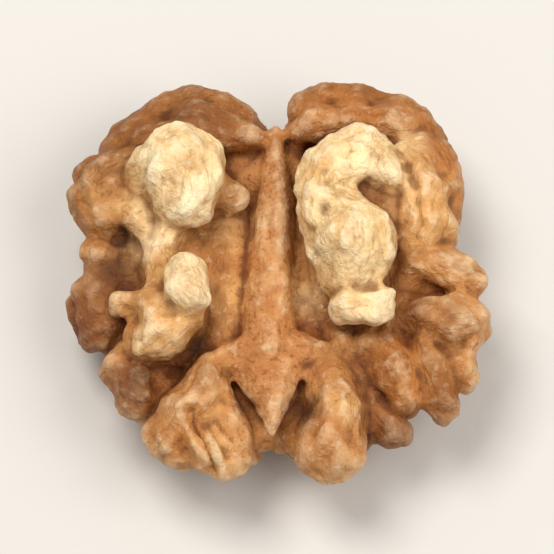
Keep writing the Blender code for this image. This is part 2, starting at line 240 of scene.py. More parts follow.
# The skin's tone on each fold of the inner face. The rest of the skin has the plain tone. The darker
# tones of the left shoulder, the left flank and the far crowns are partly painted shade on these low and
# far folds.
FOLD_TONES = {
    "spear": "clay",
    "spear_crest": "clay",
    "left_barb": "clay",
    "right_barb": "clay",
    "left_knob": "ivory",
    "left_nub": "tan",
    "left_trough": "clay",
    "left_neck": "honey",
    "left_bead": "ivory",
    "left_mitten": "honey",
    "left_thumb": "tan",
    "left_shoulder": "sepia",
    "left_collar": "honey",
    "left_flank": "russet",
    "left_foot": "tan",
    "left_toe": "tan",
    "left_toe_crest": "honey",
    "right_kidney": "ivory",
    "right_kidney_heel": "ivory",
    "right_notch_floor": "sepia",
    "right_ear_rim": "amber",
    "right_ear": "honey",
    "right_ear_root": "amber",
    "right_ear_lobe": "tan",
    "right_pad": "tan",
    "right_finger_1": "amber",
    "right_finger_2": "sepia",
    "right_finger_3": "tan",
    "right_slope": "sepia",
    "right_shin": "russet",
    "right_heel": "russet",
    "right_foot": "tan",
    "left_crown": "sepia",
    "left_crown_top": "sepia",
    "right_crown": "amber",
    "right_crown_top": "sepia",
}
TONE_NAMES = ("flesh", "ivory", "honey", "tan", "clay", "amber", "sepia", "russet", "umber")
PLAIN_TONE = "tan"
RIDGE_TONE = "clay"

# A fold's tone fades over the first length off its surface, and isn't counted past the second. The plain
# tone has a small weight everywhere. The marks of each fold are read this far apart in the noise.
TONE_REACH = 0.6
FOLD_REACH = 3.0
PLAIN_WEIGHT = 0.12
STRAND_SHIFT = 10.0

# The least length that a fold's sideways direction is divided by, where the fold runs straight up
LEAST_LENGTH = 1e-6

# Seams, streaks and veins fade out this near to where two folds meet, and the painted shade of the
# fissures is this wide there
MEETING_FADE = 0.7
FISSURE_REACH = 0.45

# The pale folds are honey below the first height and ivory above the second, a painted highlight that
# lightens them towards their tops
PALE_TONE = "ivory"
PALE_EDGE_TONE = "honey"
PALE_ENDS = (9.8, 12.8)

# Spots of tone laid over the skin: the tone, the middle, the reach, and the strength at the middle.
# The flesh spots on the tops of the lobes are painted highlights, partly skin scuffed off. The other
# flesh, ivory and honey spots are painted light on the sides, tops and feet of the lobes and in the
# troughs. The umber and russet spots are painted shade in the clefts, grooves, furrows, notch and pit,
# on the low flanks, rims and heel, at the roots and inner edges of the feet and pad, and on the far
# crown, and so are the amber spots on the spear's right face and in the heel's groove. The other amber,
# sepia and clay spots are patches of the skin's own tone.
LIGHT_SHADE_AND_TONE_SPOTS = {
    "hook_top": ("flesh", (7.7, 7.3, 13.2), 2.0, 0.8),
    "kidney_heel_top": ("flesh", (8.0, -3.6, 12.6), 1.5, 0.8),
    "knob_front": ("flesh", (-6.8, 4.4, 13.4), 2.4, 0.8),
    "bead_top": ("flesh", (-6.9, -2.1, 13.6), 1.6, 0.8),
    "left_trough_top": ("honey", (-3.4, 3.4, 8.6), 3.0, 0.9),
    "left_trough_foot": ("honey", (-3.8, -1.6, 8.6), 3.8, 0.9),
    "right_trough_top": ("honey", (2.0, 4.0, 8.4), 2.6, 0.9),
    "right_trough_foot": ("honey", (2.2, -0.6, 8.4), 3.0, 0.9),
    "deep_notch": ("russet", (2.4, 10.9, 8.0), 1.8, 0.9),
    "notch_bump": ("clay", (-1.9, 11.8, 9.6), 1.5, 0.7),
    "mitten_side": ("amber", (-11.2, -4.6, 9.6), 1.5, 0.7),
    "kidney_groove": ("umber", (9.2, 3.4, 8.6), 2.6, 0.9),
    "kidney_pit": ("russet", (3.9, 3.5, 13.6), 1.0, 0.9),
    "collar_furrow": ("umber", (-11.8, 3.0, 8.8), 1.8, 0.9),
    "mitten_cleft": ("umber", (-6.2, -5.4, 7.8), 2.2, 0.9),
    "left_flank_side": ("russet", (-14.6, -2.6, 5.6), 6.0, 0.9),
    "left_foot_band": ("amber", (-7.0, -13.4, 9.6), 1.8, 0.7),
    "foot_cleft": ("russet", (-5.2, -14.4, 9.8), 1.1, 0.6),
    "heel_groove": ("amber", (6.0, -2.4, 12.9), 1.3, 0.5),
    "right_foot_top": ("amber", (4.0, -13.0, 10.4), 2.6, 0.6),
    "pad_top": ("sepia", (13.6, -3.8, 11.0), 2.6, 0.6),
    "crown_top": ("umber", (-7.0, 13.0, 9.6), 4.0, 0.3),
    "collar_top": ("ivory", (-9.8, 5.0, 11.2), 2.8, 0.9),
    "knob_side": ("flesh", (-9.9, 6.8, 13.6), 3.0, 1.0),
    "knob_foot": ("ivory", (-7.6, 2.8, 10.4), 2.8, 0.6),
    "knob_chin": ("flesh", (-7.6, 4.4, 12.2), 1.8, 0.7),
    "collar_foot": ("flesh", (-9.9, 2.4, 10.2), 2.6, 0.8),
    "mitten_heel": ("ivory", (-9.8, -5.8, 11.0), 2.0, 0.6),
    "left_trough_side": ("ivory", (-2.8, 4.8, 9.6), 3.4, 0.45),
    "flank_top": ("umber", (-12.6, 0.5, 8.3), 3.0, 0.8),
    "left_rim_low": ("russet", (-11.2, -9.2, 9.0), 4.4, 1.0),
    "left_rim_shade": ("umber", (-10.2, -8.4, 8.8), 2.6, 0.6),
    "left_foot_root": ("russet", (-7.4, -7.4, 7.6), 2.8, 0.8),
    "left_foot_top": ("sepia", (-5.0, -8.4, 9.8), 2.2, 0.6),
    "left_foot_inner": ("umber", (-2.2, -10.6, 8.4), 1.8, 0.7),
    "right_foot_inner": ("umber", (2.6, -11.2, 8.6), 2.6, 1.0),
    "right_foot_outer": ("honey", (5.8, -10.8, 10.0), 2.4, 0.7),
    "shin_top": ("honey", (5.2, -5.3, 9.0), 2.4, 0.7),
    "kidney_side": ("flesh", (2.9, 0.4, 12.0), 2.6, 0.8),
    "kidney_foot": ("flesh", (2.9, -1.8, 8.8), 2.2, 0.7),
    "kidney_shoulder": ("honey", (3.0, 6.8, 13.4), 2.0, 0.7),
    "spear_right": ("amber", (1.2, -2.6, 10.2), 3.4, 0.45),
    "pad_root": ("russet", (10.7, -3.2, 9.8), 2.6, 1.0),
    "ear_top": ("ivory", (10.5, 10.6, 10.4), 2.6, 0.7),
    "blade_top": ("amber", (-0.4, -8.6, 9.8), 2.6, 0.35),
    "right_heel_side": ("russet", (8.4, -11.4, 6.4), 4.0, 0.9),
}

# Shares of its tone's red, green and blue that the skin has where it is redder and where it is yellower.
# The thick share gives thick skin in the streaks, veins and dots, and painted shade in the valleys and
# depths. The crease share is painted shade in the creases and fissures.
REDDER = (0.82, 0.7, 0.58)
YELLOWER = (1.12, 1.13, 1.1)
THICK_SKIN_AND_SHADE = (0.42, 0.26, 0.12)
CREASE_SHADE = (0.2, 0.085, 0.03)

# How far apart the skin's marks lie, and how long those are that run along the folds
BLOTCH_SPACING = 3.0
PATCH_SPACING = 1.8
STREAK_WIDTH = 0.8
STREAK_LENGTH = 2.4
VEIN_SPACING = 2.0
VEIN_LENGTH = 4.0
DOT_SPACING = 0.4
FLAKE_SPACING = 0.7
CRINKLE_SPACING = 1.1

# The skin's grain and the paper's tooth are about 0.1 mm in the real things, and coarser here to show
GRAIN_SPACING = 0.35
TOOTH_SPACING = 0.6

# The skin is rougher and smoother than its mean roughness by this much
GLOSS_SPREAD = 0.08

# Fine relief of the skin: seams that run along the folds, and grain as pairs of spacing and height
SEAM_SPACING = 1.5
SEAM_STRETCH = 3.0
SEAM_BEND = 0.8
SEAM_DEPTH = 0.1
SEAM_SHARPNESS = 9.0
GRAINS = ((1.6, 0.15), (0.85, 0.09), (0.5, 0.04))

# Dents in the skin: middle, reach and depth. One with a depth below zero is a bump.
DENTS = {
    "kidney_pit": ((3.9, 3.5, 13.8), 0.9, 0.5),
    "notch_bump": ((-1.9, 11.8, 9.8), 1.3, -0.5),
}

# Grooves of the inner face, cut only above a height: from and to in plan, half width and depth
GROOVES = {
    "foot_cleft": ((-6.1, -11.6), (-4.7, -15.8), 0.8, 0.9),
    "foot_line": ((-5.0, -12.4), (-3.5, -14.9), 0.45, 0.3),
    "foot_short_line": ((-4.3, -12.2), (-2.8, -14.2), 0.45, 0.25),
    "heel_groove": ((4.0, -2.6), (7.8, -2.4), 0.6, 0.35),
    "ear_line": ((10.6, 8.2), (11.6, 3.0), 0.6, 0.3),
}
GROOVE_FLOOR = 8.5

# Hollows and crests are measured against the skin after these rounds of smoothing, up to these depths
FINE_ROUNDS = 14
BROAD_ROUNDS = 160
FINE_DEPTH = 0.12
BROAD_DEPTH = 0.9

# How deep the skin lies under the crests within a reach is read on a grid in plan
CREST_CELL = 0.5
CREST_REACH = 2.5

# What the mesh calls the rows of each kind of attribute
STORED_AS = {"FLOAT": "value", "FLOAT_VECTOR": "vector", "FLOAT_COLOR": "color"}

# Settings that many of the skin's nodes share
SMOOTHLY = {"interpolation_type": "SMOOTHSTEP"}
OF_COLOURS = {"data_type": "RGBA"}
TIMES = {"operation": "MULTIPLY"}
TIMES_THEN_PLUS = {"operation": "MULTIPLY_ADD"}

# The floor's sides. In metres, the soft boxes' places from the kernel's middle, their widths, and where
# the camera begins to see.
FLOOR_SIDES = 96
KEY_OFFSET = (-0.1, 0.08, 0.31)
KEY_SIZE = 0.16
FILL_OFFSET = (0.18, -0.06, 0.24)
FILL_SIZE = 0.2
NEAR_CLIP = 0.01


def smooth_route(points):
    """The points of a Catmull-Rom curve through a route. Each point is x, y, z and radius."""
    knots = [Vector(p) for p in points]
    ends = [2 * knots[0] - knots[1], *knots, 2 * knots[-1] - knots[-2]]
    route = []
    for a, b, c, d in zip(ends, ends[1:], ends[2:], ends[3:]):
        square = 2 * a - 5 * b + 4 * c - d
        cube = 3 * b - a - 3 * c + d
        for step in range(ROUTE_STEPS_PER_LEG):
            t = step / ROUTE_STEPS_PER_LEG
            route.append(0.5 * (2 * b + (c - a) * t + square * t**2 + cube * t**3))
    route.append(knots[-1])
    return route


def with_round_ends(route):
    """A route with points added past both ends, where the radius closes as a half sphere."""

    def cap(end, inner):
        outward = (end.xyz - inner.xyz).normalized()
        return [
            Vector((*(end.xyz + outward * end.w * share), end.w * math.sqrt(1 - share * share)))
            for share in END_CAP_SHARES
        ]

    return cap(route[0], route[1])[::-1] + route + cap(route[-1], route[-2])


def add_fold(curve, points):
    """Adds one round-ended fold along its points to a curve that is bevelled to a tube."""
    route = with_round_ends(smooth_route(points))
    spline = curve.splines.new("POLY")
    spline.points.add(len(route) - 1)
    for point, place in zip(spline.points, route):
        point.co = (*(place.xyz * MM), 1)
        point.radius = place.w


def dome_height(x, y):
    """Height of the middle of the back's folds over a place in plan, in millimetres."""
    reach = min(1.0, math.hypot(x / DOME_HALF_WIDTH, y / DOME_HALF_LENGTH))
    return BACK_FOLD_RADIUS + DOME_DEPTH * (1 - math.sqrt(1 - reach * reach))


def back_fold(side, start_y, angle, start_share, radius, swing):
    """A winding route from near the middle line of the back out to the edge at an angle."""
    start = Vector((side * MEDIAN_HALF_GAP, start_y))
    edge = Vector((side * DOME_HALF_WIDTH * math.cos(angle), DOME_HALF_LENGTH * math.sin(angle)))
    across = (edge - start).orthogonal().normalized()
    route = []
    for leg in range(FOLD_LEGS + 1):
        t = start_share + (1 - start_share) * leg / FOLD_LEGS
        place = start.lerp(edge, t) + across * swing * math.sin(math.tau * FOLD_WINDINGS * t)
        swelling = FOLD_SWELLING * math.cos(math.tau * FOLD_SWELLINGS * leg / FOLD_LEGS)
        route.append((*place, dome_height(*place), radius * (1 + swelling)))
    return route


def back_folds():
    """Long folds from the middle line to the edge, and a short one between each two of them."""
    draw = random.Random(SEED)
    count = 2 * FOLDS_PER_SIDE - 1
    for side in (-1, 1):
        for i in range(count):
            share = i / (count - 1)
            is_long = i % 2 == 0
            widths = LONG_FOLD_WIDTHS if is_long else SHORT_FOLD_WIDTHS
            scatter = draw.uniform(-FOLD_ANGLE_SCATTER, FOLD_ANGLE_SCATTER)
            yield back_fold(
                side,
                start_y=(2 * share - 1) * MEDIAN_HALF_SPREAD,
                angle=FIRST_FOLD_ANGLE + (LAST_FOLD_ANGLE - FIRST_FOLD_ANGLE) * share + scatter,
                start_share=0.0 if is_long else draw.uniform(*SHORT_FOLD_STARTS),
                radius=BACK_FOLD_RADIUS * draw.uniform(*widths),
                swing=draw.uniform(*FOLD_SWINGS) * draw.choice((-1, 1)),
            )


def mesh_object(name, mesh):
    obj = bpy.data.objects.new(name, mesh)
    bpy.context.scene.collection.objects.link(obj)
    return obj


def applied(obj):
    """The mesh of an object with its modifiers applied."""
    bpy.context.view_layer.update()
    graph = bpy.context.evaluated_depsgraph_get()
    return bpy.data.meshes.new_from_object(obj.evaluated_get(graph))


def fold_mesh():
    """Every fold as a round-ended tube."""
    curve = bpy.data.curves.new("folds", "CURVE")
    curve.dimensions = "3D"
    curve.bevel_depth = MM
    curve.bevel_resolution = TUBE_RESOLUTION
    curve.use_fill_caps = True
    for points in INNER_FOLDS.values():
        add_fold(curve, points)
    for points in back_folds():
        add_fold(curve, points)
    obj = mesh_object("folds", curve)
    mesh = applied(obj)
    bpy.data.objects.remove(obj)
    return mesh


def rough_body():
    """The folds, the beds and the blade in one mesh, still running through each other."""
    body = bmesh.new()
    folds = fold_mesh()
    body.from_mesh(folds)
    bpy.data.meshes.remove(folds)
    bmesh.ops.remove_doubles(body, verts=body.verts, dist=WELD_DISTANCE)
    for middle, half_axes in BEDS:
        stretch = Matrix.Diagonal((*(Vector(half_axes) * MM), 1))
        shape = Matrix.Translation(Vector(middle) * MM) @ stretch
        bmesh.ops.create_icosphere(body, subdivisions=BED_SUBDIVISIONS, radius=1, matrix=shape)
    corners = [body.verts.new(Vector(place) * MM) for place in BLADE_CORNERS.values()]
    bmesh.ops.convex_hull(body, input=corners)
    mesh = bpy.data.meshes.new("kernel")
    body.to_mesh(mesh)
    body.free()
    return mesh


def one_skin(mesh, smoothing_rounds, voxel):
    """One skin round all that runs through each other, with its creases softened."""
    obj = mesh_object("skin", mesh)
    remesh = obj.modifiers.new("one_skin", "REMESH")
    remesh.mode = "VOXEL"
    remesh.voxel_size = voxel
    smooth = obj.modifiers.new("soft_creases", "SMOOTH")
    smooth.factor = SMOOTHING_FACTOR
    smooth.iterations = smoothing_rounds
    grown = applied(obj)
    bpy.data.objects.remove(obj)
    return grown


def ramp(value, low, high):
    """0 at low, 1 at high, and even between them."""
    return min(1.0, max(0.0, (value - low) / (high - low)))


def wander(place):
    """A shift that changes softly from place to place, the same in every build."""
    return Vector([noise.noise(place + elsewhere) for elsewhere in WANDER_PLACES])


def strip_share(place):
    """How far a place is within the strip along the spear, from 0 to 1."""
    height_share = ramp(place.z, *STRIP_FLOOR) * (1 - ramp(place.z, *STRIP_TOP))
    return height_share * (1 - ramp(abs(place.x - STRIP_MIDDLE), *STRIP_EDGE))


def relief(place):
    """How far the surface stands out at a place, both in millimetres: lumps with furrows between."""
    lumps = noise.noise(place / LUMP_SPACING) * LUMP_HEIGHT
    lumps += noise.noise(place / BUMP_SPACING) * BUMP_HEIGHT
    bent = place + wander(place / LUMP_SPACING)
    ridge = 1 - math.exp(-FURROW_SHARPNESS * abs(noise.noise(bent / FURROW_SPACING)))
    inner_share = ramp(place.z, *BACK_ENDS)
    lumps *= BACK_LUMPS + (1 - BACK_LUMPS) * inner_share
    furrow_depth = BACK_FURROW_DEPTH + (INNER_FURROW_DEPTH - BACK_FURROW_DEPTH) * inner_share
    share = 1 - (1 - STRIP_RELIEF) * strip_share(place)
    return (lumps + (ridge - FURROW_MEAN) * furrow_depth) * share


def raise_relief(mesh):
    """Bends the kernel a little out of true and raises lumps all over it."""
    moves = []
    for vertex in mesh.vertices:
        place = vertex.co / MM
        moves.append(wander(place / WARP_LENGTH) * WARP + vertex.normal * relief(place))
    for vertex, move in zip(mesh.vertices, moves):
        vertex.co += move * MM


def groove_depth(place):
    """How deep the grooves of the inner face are cut at a place, in millimetres."""
    if place.z < GROOVE_FLOOR:
        return 0.0
    cut = 0.0
    for start, end, half_width, depth in GROOVES.values():
        along = Vector(end) - Vector(start)
        off = place.xy - Vector(start)
        share = min(1.0, max(0.0, off.dot(along) / along.length_squared))
        cut += depth * ramp((off - along * share).length / half_width, 1, 0)
    return cut


def fine_relief(place, strand, veined):
    """Seams along the folds and grain of the dried skin at a place, in millimetres."""
    drawn_out = Vector(strand * (1, 1 / SEAM_STRETCH, 1)) / SEAM_SPACING
    bent = drawn_out + wander(place / LUMP_SPACING) * SEAM_BEND
    seam = math.exp(-SEAM_SHARPNESS * abs(noise.noise(bent)))
    grain = sum(noise.noise(place / spacing) * height for spacing, height in GRAINS)
    dents = sum(
        depth * ramp((place - Vector(middle)).length / reach, 1, 0)
        for middle, reach, depth in DENTS.values()
    )
    return grain - seam * SEAM_DEPTH * veined - dents - groove_depth(place)


def raise_fine_relief(mesh, strands, veined, share):
    """Gives the skin a share of its fine relief, with seams only where it is veined."""
    moves = [
        vertex.normal * fine_relief(vertex.co / MM, strand, vein_share) * share
        for vertex, strand, vein_share in zip(mesh.vertices, strands, veined)
    ]
    for vertex, move in zip(mesh.vertices, moves):
        vertex.co += move * MM


def fit_to_frame(mesh, settings):
    """Scales the kernel to its three sizes and flattens it where it lies on the floor."""
    lows = [min(v.co[i] for v in mesh.vertices) for i in range(3)]
    highs = [max(v.co[i] for v in mesh.vertices) for i in range(3)]
    sizes = (settings.width, settings.length, settings.height + REST_CUT * MM)
    middle = (KERNEL_LOW + KERNEL_HIGH) / 2
    for vertex in mesh.vertices:
        for i in range(3):
            vertex.co[i] = (vertex.co[i] - lows[i]) / (highs[i] - lows[i]) * sizes[i]
        vertex.co.x += middle.x - sizes[0] / 2
        vertex.co.y += middle.y - sizes[1] / 2
        vertex.co.z = max(0.0, vertex.co.z - REST_CUT * MM)


def vertex_array(mesh, key):
    """A vector of each vertex, such as its place, as the rows of an array."""
    flat = np.empty(len(mesh.vertices) * 3, np.float32)
    mesh.vertices.foreach_get(key, flat)
    return flat.reshape(-1, 3).astype(float)


def evened_out(places, ends, rounds):
    """Places after rounds of moving each one half way to the mean of its neighbours."""
    first, second = ends.T
    size = len(places)
    count = np.bincount(first, minlength=size) + np.bincount(second, minlength=size)
    for _ in range(rounds):
        sums = [
            np.bincount(first, column[second], size) + np.bincount(second, column[first], size)
            for column in places.T
        ]
        places = (places + np.stack(sums, axis=1) / count[:, None]) / 2
    return places


def mark_hollows(mesh):
    """Stores how far each point stands out of the skin round it, finely and broadly, from -1 to 1."""
    places = vertex_array(mesh, "co") / MM
    normals = vertex_array(mesh, "normal")
    ends = np.empty(len(mesh.edges) * 2, np.int32)
    mesh.edges.foreach_get("vertices", ends)
    ends = ends.reshape(-1, 2)
    fine = evened_out(places, ends, FINE_ROUNDS)
    broad = evened_out(fine, ends, BROAD_ROUNDS)
    for name, base, depth in (("fine_form", fine, FINE_DEPTH), ("broad_form", broad, BROAD_DEPTH)):
        stands_out = ((places - base) * normals).sum(axis=1) / depth
        store(mesh, name, "FLOAT", np.clip(stands_out, -1, 1))


def highest_round(places):
    """The greatest height within the crest reach of each place, in plan."""
    cells = np.floor((places[:, :2] - places[:, :2].min(axis=0)) / CREST_CELL).astype(int)
    steps = math.ceil(CREST_REACH / CREST_CELL)
    heights = np.full(cells.max(axis=0) + 1 + 2 * steps, -np.inf)
    np.maximum.at(heights, tuple((cells + steps).T), places[:, 2])
    crests = heights.copy()
    for i in range(-steps, steps + 1):
        for j in range(-steps, steps + 1):
            if math.hypot(i, j) <= steps:
                crests = np.maximum(crests, np.roll(heights, (i, j), axis=(0, 1)))
    return crests[tuple((cells + steps).T)]


def mark_depth(mesh):
    """Stores how far each point lies below the crests round it, on the inner face or on the back."""
    places = vertex_array(mesh, "co") / MM
    upside_down = places * (1, 1, -1)
    depths = [highest_round(side) - side[:, 2] for side in (places, upside_down)]
    store(mesh, "depth", "FLOAT", np.minimum(*depths))


def store(mesh, name, kind, rows):
    """Stores a value, a vector or a colour at each point, for the skin's material to read."""
    layer = mesh.attributes.new(name, kind, "POINT")
    layer.data.foreach_set(STORED_AS[kind], rows.astype(np.float32).ravel())


def near_route(places, route):
    """How far places lie off a round fold, and where they lie aside from it, along it and above it."""
    gap = np.full(len(places), np.inf)
    strand = np.zeros_like(places)
    walked = 0.0
    last = len(route) - 2
    for leg, (start, end) in enumerate(zip(route, route[1:])):
        step = np.array(end.xyz - start.xyz)
        length = np.linalg.norm(step)
        ahead = step / length
        side = np.cross(ahead, (0, 0, 1))
        side /= max(np.linalg.norm(side), LEAST_LENGTH)
        off = places - np.array(start.xyz)
        forward = off @ ahead
        share = np.clip(forward / length, 0, 1)
        radius = start.w + share * (end.w - start.w)
        away = np.linalg.norm(off - share[:, None] * step, axis=1) - radius
        along = walked + np.clip(forward, 0 if leg else -np.inf, length if leg < last else np.inf)
        own = np.stack([off @ side, along, off @ np.cross(side, ahead)], axis=1)
        closer = away < gap
        gap[closer] = away[closer]
        strand[closer] = own[closer]
        walked += length
    return gap, strand


def all_folds():
    """The tone and the smooth route of every fold, of the inner face and of the back."""
    for name, points in INNER_FOLDS.items():
        yield FOLD_TONES[name], smooth_route(points)
    for points in back_folds():
        yield PLAIN_TONE, smooth_route(points)
    yield RIDGE_TONE, smooth_route(BLADE_ROUTE)


def read_folds(mesh, tones):
    """Each vertex's tone, its place in its fold's frame, and how much farther off the next fold is."""
    places = vertex_array(mesh, "co") / MM
    weights = np.full(len(places), PLAIN_WEIGHT)
    colours = weights[:, None] * tones[PLAIN_TONE]
    nearest = np.full(len(places), FOLD_REACH)
    second = nearest.copy()
    strands = places.copy()
    for index, (tone, route) in enumerate(all_folds()):
        middles = np.array([knot.xyz for knot in route])
        reach = max(knot.w for knot in route) + FOLD_REACH
        inside = (places > middles.min(axis=0) - reach) & (places < middles.max(axis=0) + reach)
        rows = np.flatnonzero(inside.all(axis=1))
        gap, strand = near_route(places[rows], route)
        weight = np.exp(-np.clip(gap, 0, None) / TONE_REACH)
        weights[rows] += weight
        own_tone = tones[tone]
        # Painted highlight: the pale folds lighten towards their tops
        if tone == PALE_TONE:
            low, high = PALE_ENDS
            height = np.clip((places[rows, 2:] - low) / (high - low), 0, 1)
            own_tone = tones[PALE_EDGE_TONE] * (1 - height) + own_tone * height
        colours[rows] += weight[:, None] * own_tone
        closer = gap < nearest[rows]
        second[rows] = np.minimum(second[rows], np.maximum(nearest[rows], gap))
        nearest[rows[closer]] = gap[closer]
        if tone == RIDGE_TONE:
            strands[rows[closer]] = places[rows[closer]]
        else:
            strands[rows[closer]] = strand[closer] + (0, 0, index * STRAND_SHIFT)
    return add_light_shade_and_tone_spots(places, colours / weights[:, None], tones), strands, second - nearest


def add_light_shade_and_tone_spots(places, colours, tones):
    """The colours with every spot's painted light, shade and tone laid over them, strongest in its
    middle.
    """
    for tone, middle, reach, strength in LIGHT_SHADE_AND_TONE_SPOTS.values():
        near = np.clip(1 - np.linalg.norm(places - np.array(middle), axis=1) / reach, 0, 1)
        share = (near * near * (3 - 2 * near) * strength)[:, None]
        colours = colours * (1 - share) + share * tones[tone]
    return colours


def linear_colour(code):
    """The linear colour of an sRGB hex value, with an alpha of 1."""
    shares = [int(code[i : i + 2], 16) / 255 for i in (1, 3, 5)]
    return (*(s / 12.92 if s <= 0.04045 else ((s + 0.055) / 1.055) ** 2.4 for s in shares), 1.0)


def add_node(tree, kind, settings=None, **inputs):
    """Adds a shader node of a kind, such as Math, with its settings and inputs.

    An input is named as in Blender, with underscores, or i and its number. It is a value, an output to
    link, or a node whose first output in use is linked.
    """
    node = tree.nodes.new("ShaderNode" + kind)
    for name, value in (settings or {}).items():
        setattr(node, name, value)
    for name, value in inputs.items():
        socket = node.inputs[int(name[1:]) if name[1:].isdigit() else name.replace("_", " ")]
        if isinstance(value, bpy.types.Node):
            value = output_of(value)
        if isinstance(value, bpy.types.NodeSocket):
            tree.links.new(value, socket)
        else:
            socket.default_value = value
    return node


def output_of(node):
    """The first output of a node that is in use."""
    return next(output for output in node.outputs if output.enabled)


def per_metre(spacing):
    """The scale of a texture whose features lie this many millimetres apart."""
    return 1 / (spacing * MM)


def along_folds(width, length):
    """The scales, aside from a fold, along it and above it, of marks of this width and length."""
    return 1 / width, 1 / length, 1 / width


def walnut_skin(skin):
    """The dried seed skin of a walnut, grown in the shell and unworked.

    It gives the eye a warm papery brown with painted shade in the folds, pale crests that are partly
    skin scuffed off and partly a painted highlight, spots of painted light and shade, fine veins along
    the folds and a faint oily sheen.
    """
    material = bpy.data.materials.new("walnut_seed_skin_dried")
    material.use_nodes = True
    tree = material.node_tree
    shader = tree.nodes["Principled BSDF"]
    honey, flesh = tuple(skin.honey), tuple(skin.flesh)
    where = add_node(tree, "TexCoord").outputs["Object"]
    tone = add_node(tree, "Attribute", {"attribute_name": "skin_tone"}).outputs["Color"]
    strand = add_node(tree, "Attribute", {"attribute_name": "strand_place"}).outputs["Vector"]
    fine, broad, papery, veined, fissure, depth = (
        add_node(tree, "Attribute", {"attribute_name": name}).outputs["Fac"]
        for name in ("fine_form", "broad_form", "papery", "veined", "fissure", "depth")
    )

    # Mottling, as blotches that run from darker and redder to lighter and yellower
    blotches = add_node(
        tree, "TexNoise", Vector=where, Scale=per_metre(BLOTCH_SPACING), Detail=7.0, Roughness=0.7
    )
    mottle = add_node(tree, "MapRange", SMOOTHLY, Value=blotches, From_Min=0.34, From_Max=0.66)
    redder = add_node(tree, "VectorMath", TIMES, i0=tone, i1=REDDER)
    yellower = add_node(tree, "VectorMath", TIMES, i0=tone, i1=YELLOWER)
    mottled = add_node(tree, "Mix", OF_COLOURS, i0=mottle, i6=redder, i7=yellower)

    # The same skin darker: thick in the streaks, veins and dots, and with painted shade in the valleys,
    # depths, creases and fissures
    thick_skin_and_shade = add_node(tree, "VectorMath", TIMES, i0=tone, i1=THICK_SKIN_AND_SHADE)
    crease_shade = add_node(tree, "VectorMath", TIMES, i0=tone, i1=CREASE_SHADE)

    # Patches of brown skin that are left on the pale lobes
    lightness = add_node(tree, "RGBToBW", Color=tone)
    pale = add_node(tree, "MapRange", Value=lightness, From_Min=0.4, From_Max=0.7)
    patches = add_node(
        tree, "TexNoise", Vector=where, Scale=per_metre(PATCH_SPACING), Detail=6.0, Roughness=0.65
    )
    patch = add_node(tree, "MapRange", SMOOTHLY, Value=patches, From_Min=0.48, From_Max=0.68, To_Max=0.7)
    left_on = add_node(tree, "Math", TIMES, i0=patch, i1=pale)
    patched = add_node(tree, "Mix", OF_COLOURS, i0=left_on, i6=mottled, i7=honey)

    # Streaks of thicker skin, longer than wide, that run along each fold
    laid = add_node(tree, "VectorMath", TIMES, i0=strand, i1=along_folds(STREAK_WIDTH, STREAK_LENGTH))
    streaks = add_node(tree, "TexNoise", Vector=laid, Scale=1.0, Detail=3.0, Roughness=0.6)
    streak = add_node(
        tree, "MapRange", SMOOTHLY, Value=streaks, From_Min=0.5, From_Max=0.74, To_Max=0.35
    )
    streak_share = add_node(tree, "Math", TIMES, i0=streak, i1=veined)
    streaked = add_node(tree, "Mix", OF_COLOURS, i0=streak_share, i6=patched, i7=thick_skin_and_shade)

    # Veins, thin lines where a noise drawn out along the folds crosses its middle value
    spread = add_node(tree, "VectorMath", TIMES, i0=strand, i1=along_folds(VEIN_SPACING, VEIN_LENGTH))
    field = add_node(
        tree, "TexNoise", Vector=spread, Scale=1.0, Detail=2.5, Roughness=0.55, Distortion=0.6
    )
    centred = add_node(tree, "Math", {"operation": "SUBTRACT"}, i0=field, i1=0.5)
    off_line = add_node(tree, "Math", {"operation": "ABSOLUTE"}, i0=centred)
    vein = add_node(tree, "MapRange", SMOOTHLY, Value=off_line, From_Min=0.04, From_Max=0.0, To_Max=0.34)
    vein_share = add_node(tree, "Math", TIMES, i0=vein, i1=veined)
    with_veins = add_node(tree, "Mix", OF_COLOURS, i0=vein_share, i6=streaked, i7=thick_skin_and_shade)

    # The papery strip along the spear has no veins and is stippled with dots
    dots = add_node(
        tree, "TexNoise", Vector=where, Scale=per_metre(DOT_SPACING), Detail=1.0, Roughness=0.5
    )
    dot = add_node(tree, "MapRange", SMOOTHLY, Value=dots, From_Min=0.55, From_Max=0.7, To_Max=0.55)
    dotted = add_node(tree, "Math", TIMES, i0=dot, i1=papery)
    stippled = add_node(tree, "Mix", OF_COLOURS, i0=dotted, i6=with_veins, i7=thick_skin_and_shade)

    # Painted shade: dark in the creases, darker in the valleys and darkest in the fissures that lie low
    crease_shade_share = add_node(tree, "MapRange", SMOOTHLY, Value=fine, From_Min=-0.15, From_Max=-1.1, To_Max=0.55)
    crease_shaded = add_node(tree, "Mix", OF_COLOURS, i0=crease_shade_share, i6=stippled, i7=crease_shade)
    valley_shade_share = add_node(tree, "MapRange", SMOOTHLY, Value=broad, From_Min=0.0, From_Max=-1.2, To_Max=0.5)
    shaded = add_node(tree, "Mix", OF_COLOURS, i0=valley_shade_share, i6=crease_shaded, i7=thick_skin_and_shade)
    low = add_node(tree, "MapRange", SMOOTHLY, Value=broad, From_Min=0.1, From_Max=-0.6, To_Max=0.8)
    fissure_shade_share = add_node(tree, "Math", TIMES, i0=low, i1=fissure)
    fissure_shaded = add_node(tree, "Mix", OF_COLOURS, i0=fissure_shade_share, i6=shaded, i7=crease_shade)

